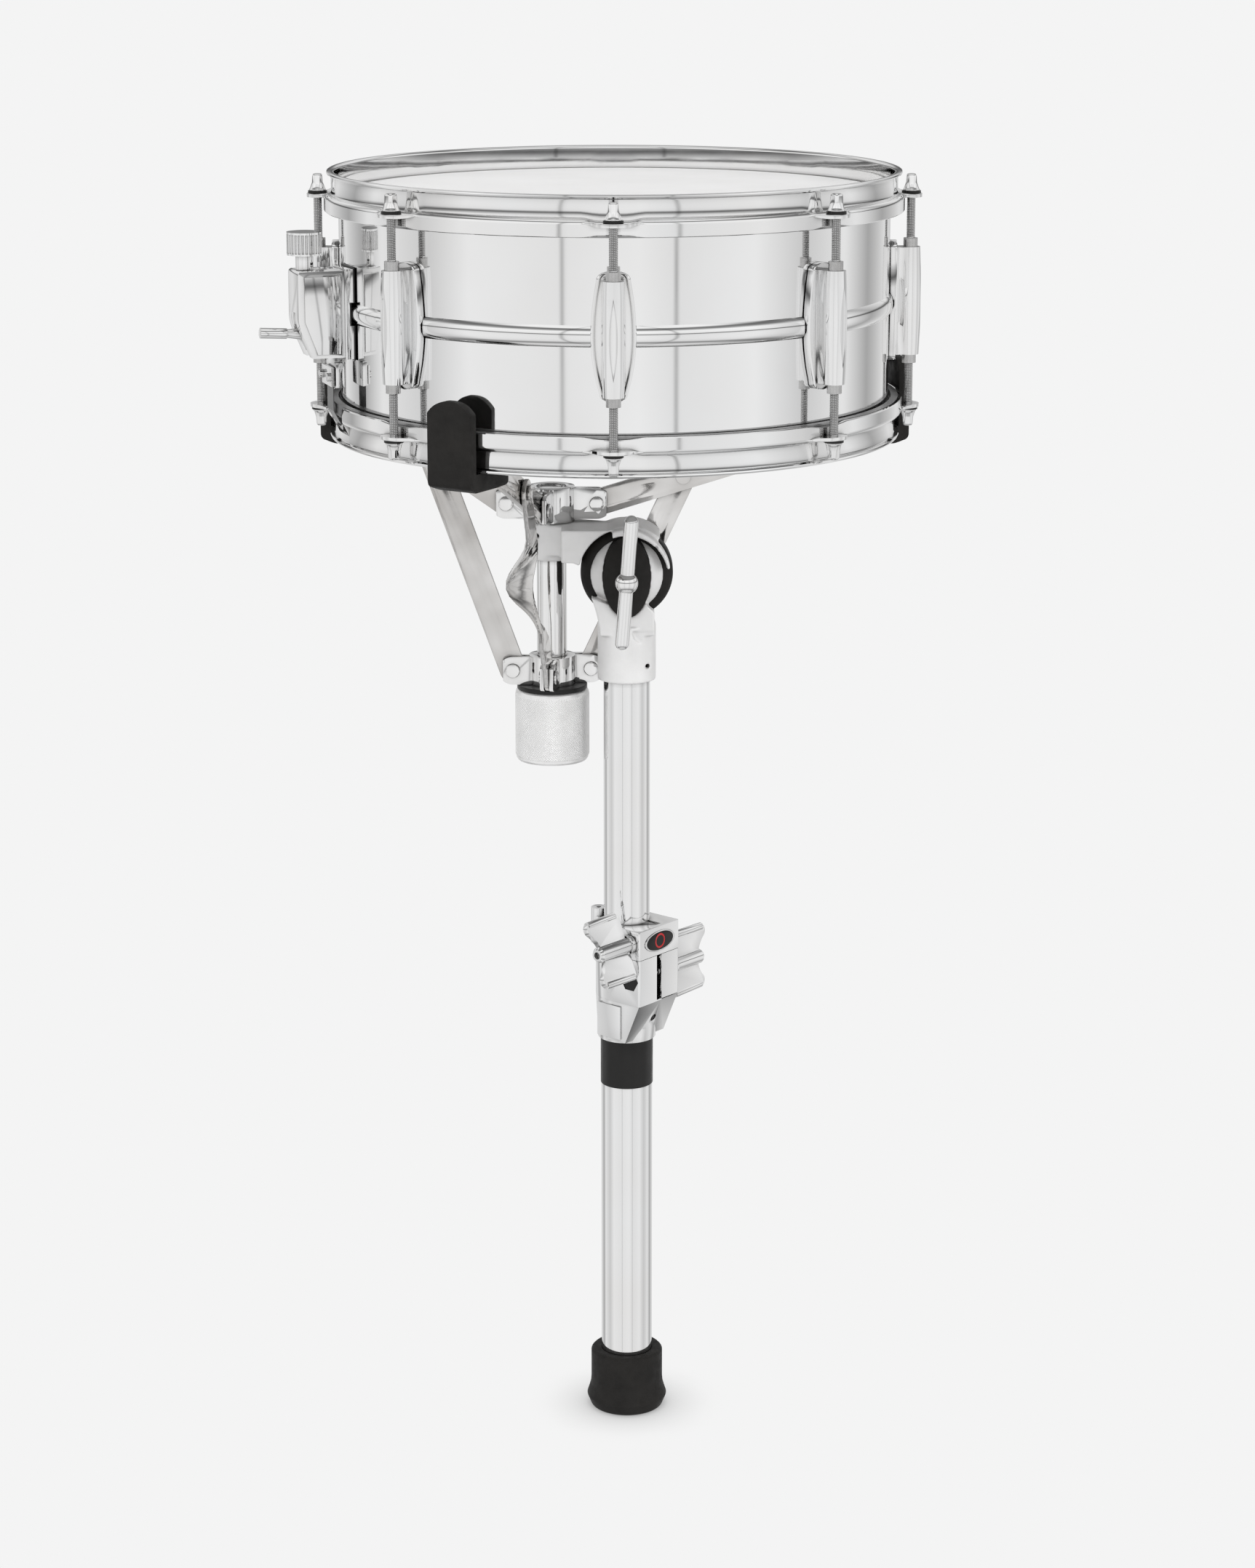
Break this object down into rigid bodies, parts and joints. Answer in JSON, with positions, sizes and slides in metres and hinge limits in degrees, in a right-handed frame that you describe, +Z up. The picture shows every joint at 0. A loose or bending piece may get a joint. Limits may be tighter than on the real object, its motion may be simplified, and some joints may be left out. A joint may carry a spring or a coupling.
{
  "type": "snare drum on a stand",
  "caption": "Chrome snare drum with beaded shell, lugs and strainer, gripped by a folding basket with tilter on a height-adjustable single tube.",
  "frame": {"origin": "centre of the foot's underside, on the axis of the stand's tubes", "axes": "+Z up along the tubes, -Y towards the player, +X to the player's right, so the strainer and the basket's nut are on the -X side"},
  "size_m": [0.4224, 0.3972, 0.8525],
  "materials": {
    "chrome": "bright chrome plate",
    "shell_chrome": "mirror chrome over metal",
    "satin_cast": "satin sand-cast, fine grain",
    "satin_nut": "satin, diamond knurled",
    "rubber": "matt moulded rubber",
    "black_plastic": "satin black plastic",
    "head_film": "coated white film",
    "clear_film": "hazy thin film",
    "ring_metal": "dull anodised ring",
    "steel_wire": "coiled steel wire",
    "strap_film": "smoked strap",
    "steel": "plated steel"
  },
  "bodies": {
    "base": {"foot": "rubber", "lower_tube": "chrome", "tube_sleeve": "black_plastic", "height_clamp": "chrome", "clamp_bushing": "black_plastic", "clamp_hex_nut": "black_plastic"},
    "clamp_bolt": {"clamp_wing_bolt": "chrome"},
    "post": {"upper_tube": "chrome", "memory_lock": "chrome", "tilter_socket": "satin_cast", "tilter_ball": "rubber"},
    "lock_bolt": {"memory_wing_bolt": "chrome"},
    "handle": {"tilter_handle": "chrome"},
    "basket": {"tilter_arm": "satin_cast", "basket_tube": "chrome", "top_hub": "chrome", "hub_rivets": "chrome"},
    "slider": {"lower_hub": "chrome", "lower_hub_rivets": "chrome", "nut_washer": "black_plastic"},
    "nut": {"basket_nut": "satin_nut"},
    "drum": {"shell": "shell_chrome", "batter_head": "head_film", "batter_head_ring": "ring_metal", "snare_head": "clear_film", "snare_head_ring": "ring_metal", "top_hoop": "chrome", "bottom_hoop": "chrome", "lug_1": "chrome", "lug_2": "chrome", "lug_3": "chrome", "lug_4": "chrome", "lug_5": "chrome", "lug_6": "chrome", "lug_7": "chrome", "lug_8": "chrome", "lug_swivel_nuts": "steel", "shell_screws": "steel", "tension_rods": "chrome", "rod_washers": "black_plastic", "vent_grommet": "chrome", "strainer_housing": "chrome", "strainer_gasket": "black_plastic", "butt_plate": "chrome", "butt_clamp": "chrome", "snare_wires": "steel_wire", "snare_straps": "strap_film"},
    "throw_lever": {"strainer_lever": "chrome"},
    "carriage": {"strainer_carriage": "chrome", "strainer_clamp": "chrome"},
    "fine_knob": {"strainer_knob": "chrome"},
    "arm_body_1": {"arm_1": "chrome", "pad_1": "rubber"},
    "link_body_1": {"link_1": "chrome"},
    "arm_body_2": {"arm_2": "chrome", "pad_2": "rubber"},
    "link_body_2": {"link_2": "chrome"},
    "arm_body_3": {"arm_3": "chrome", "pad_3": "rubber"},
    "link_body_3": {"link_3": "chrome"}
  },
  "joints": [
    {"name": "height", "type": "slide", "parent": "base", "child": "post", "axis": [0, 0, 1], "range_m": [0, 0.11]},
    {"name": "clamp_turn", "type": "hinge", "parent": "base", "child": "clamp_bolt", "pos_m": [0.02873, 0.00344, 0.314], "axis": [0.6428, 0.766, 0], "range_deg": [0, 360]},
    {"name": "lock_turn", "type": "hinge", "parent": "post", "child": "lock_bolt", "pos_m": [0.00161, -0.02889, 0.33955], "axis": [-0.6428, -0.766, 0], "range_deg": [0, 360]},
    {"name": "handle_turn", "type": "hinge", "parent": "post", "child": "handle", "pos_m": [0, -0.037, 0.587], "axis": [0, -1, 0], "range_deg": [0, 360]},
    {"name": "tilt", "type": "hinge", "parent": "post", "child": "basket", "pos_m": [0, 0, 0.587], "axis": [0, 1, 0], "range_deg": [-3, 30]},
    {"name": "basket_open", "type": "slide", "parent": "basket", "child": "slider", "axis": [0, 0, -1], "range_m": [0, 0.012]},
    {"name": "nut_turn", "type": "hinge", "parent": "slider", "child": "nut", "pos_m": [-0.05, 0.024, 0.48], "axis": [0, 0, 1], "range_deg": [0, 1440]},
    {"name": "arm_fold_1", "type": "hinge", "parent": "basket", "child": "arm_body_1", "pos_m": [-0.05618, -0.00536, 0.6289], "axis": [0.9785, -0.2062, 0], "range_deg": [0, 13.54]},
    {"name": "link_swing_1", "type": "hinge", "parent": "slider", "child": "link_body_1", "pos_m": [-0.05184, -0.00218, 0.51605], "axis": [0.9785, -0.2062, 0], "range_deg": [0, 1.57]},
    {"name": "arm_fold_2", "type": "hinge", "parent": "basket", "child": "arm_body_2", "pos_m": [-0.02, 0.02448, 0.6289], "axis": [-0.0161, 0.9999, 0], "range_deg": [0, 12.9]},
    {"name": "link_swing_2", "type": "hinge", "parent": "slider", "child": "link_body_2", "pos_m": [-0.02406, 0.02802, 0.51605], "axis": [-0.0161, 0.9999, 0], "range_deg": [0, 1.14]},
    {"name": "arm_fold_3", "type": "hinge", "parent": "basket", "child": "arm_body_3", "pos_m": [-0.07999, 0.0249, 0.6289], "axis": [-0.0301, -0.9995, 0], "range_deg": [0, 16.11]},
    {"name": "link_swing_3", "type": "hinge", "parent": "slider", "child": "link_body_3", "pos_m": [-0.0761, 0.02118, 0.51605], "axis": [-0.0301, -0.9995, 0], "range_deg": [0, 3.02]},
    {"name": "drum_lift", "type": "slide", "parent": "basket", "child": "drum", "axis": [0, 0, 1], "range_m": [0, 0.08]},
    {"name": "throw_off", "type": "hinge", "parent": "drum", "child": "throw_lever", "pos_m": [-0.19889, -0.06577, 0.754], "axis": [0.3256, -0.9455, 0], "range_deg": [0, 70]},
    {"name": "carriage_drop", "type": "slide", "parent": "drum", "child": "carriage", "axis": [0, 0, -1], "range_m": [0, 0.0061]},
    {"name": "fine_tune", "type": "hinge", "parent": "drum", "child": "fine_knob", "pos_m": [-0.20268, -0.06707, 0.797], "axis": [0, 0, 1], "range_deg": [-360, 360]}
  ],
  "couplings": [
    {"joint": "nut_turn", "follows": "basket_open", "rad_per_m": 2094.2},
    {"joint": "arm_fold_1", "follows": "basket_open", "rad_per_m": 19.623},
    {"joint": "link_swing_1", "follows": "basket_open", "rad_per_m": 2.2155},
    {"joint": "arm_fold_2", "follows": "basket_open", "rad_per_m": 18.686},
    {"joint": "link_swing_2", "follows": "basket_open", "rad_per_m": 1.5904},
    {"joint": "arm_fold_3", "follows": "basket_open", "rad_per_m": 23.36},
    {"joint": "link_swing_3", "follows": "basket_open", "rad_per_m": 4.3262},
    {"joint": "carriage_drop", "follows": "throw_off", "m_per_rad": 0.004911}
  ]
}
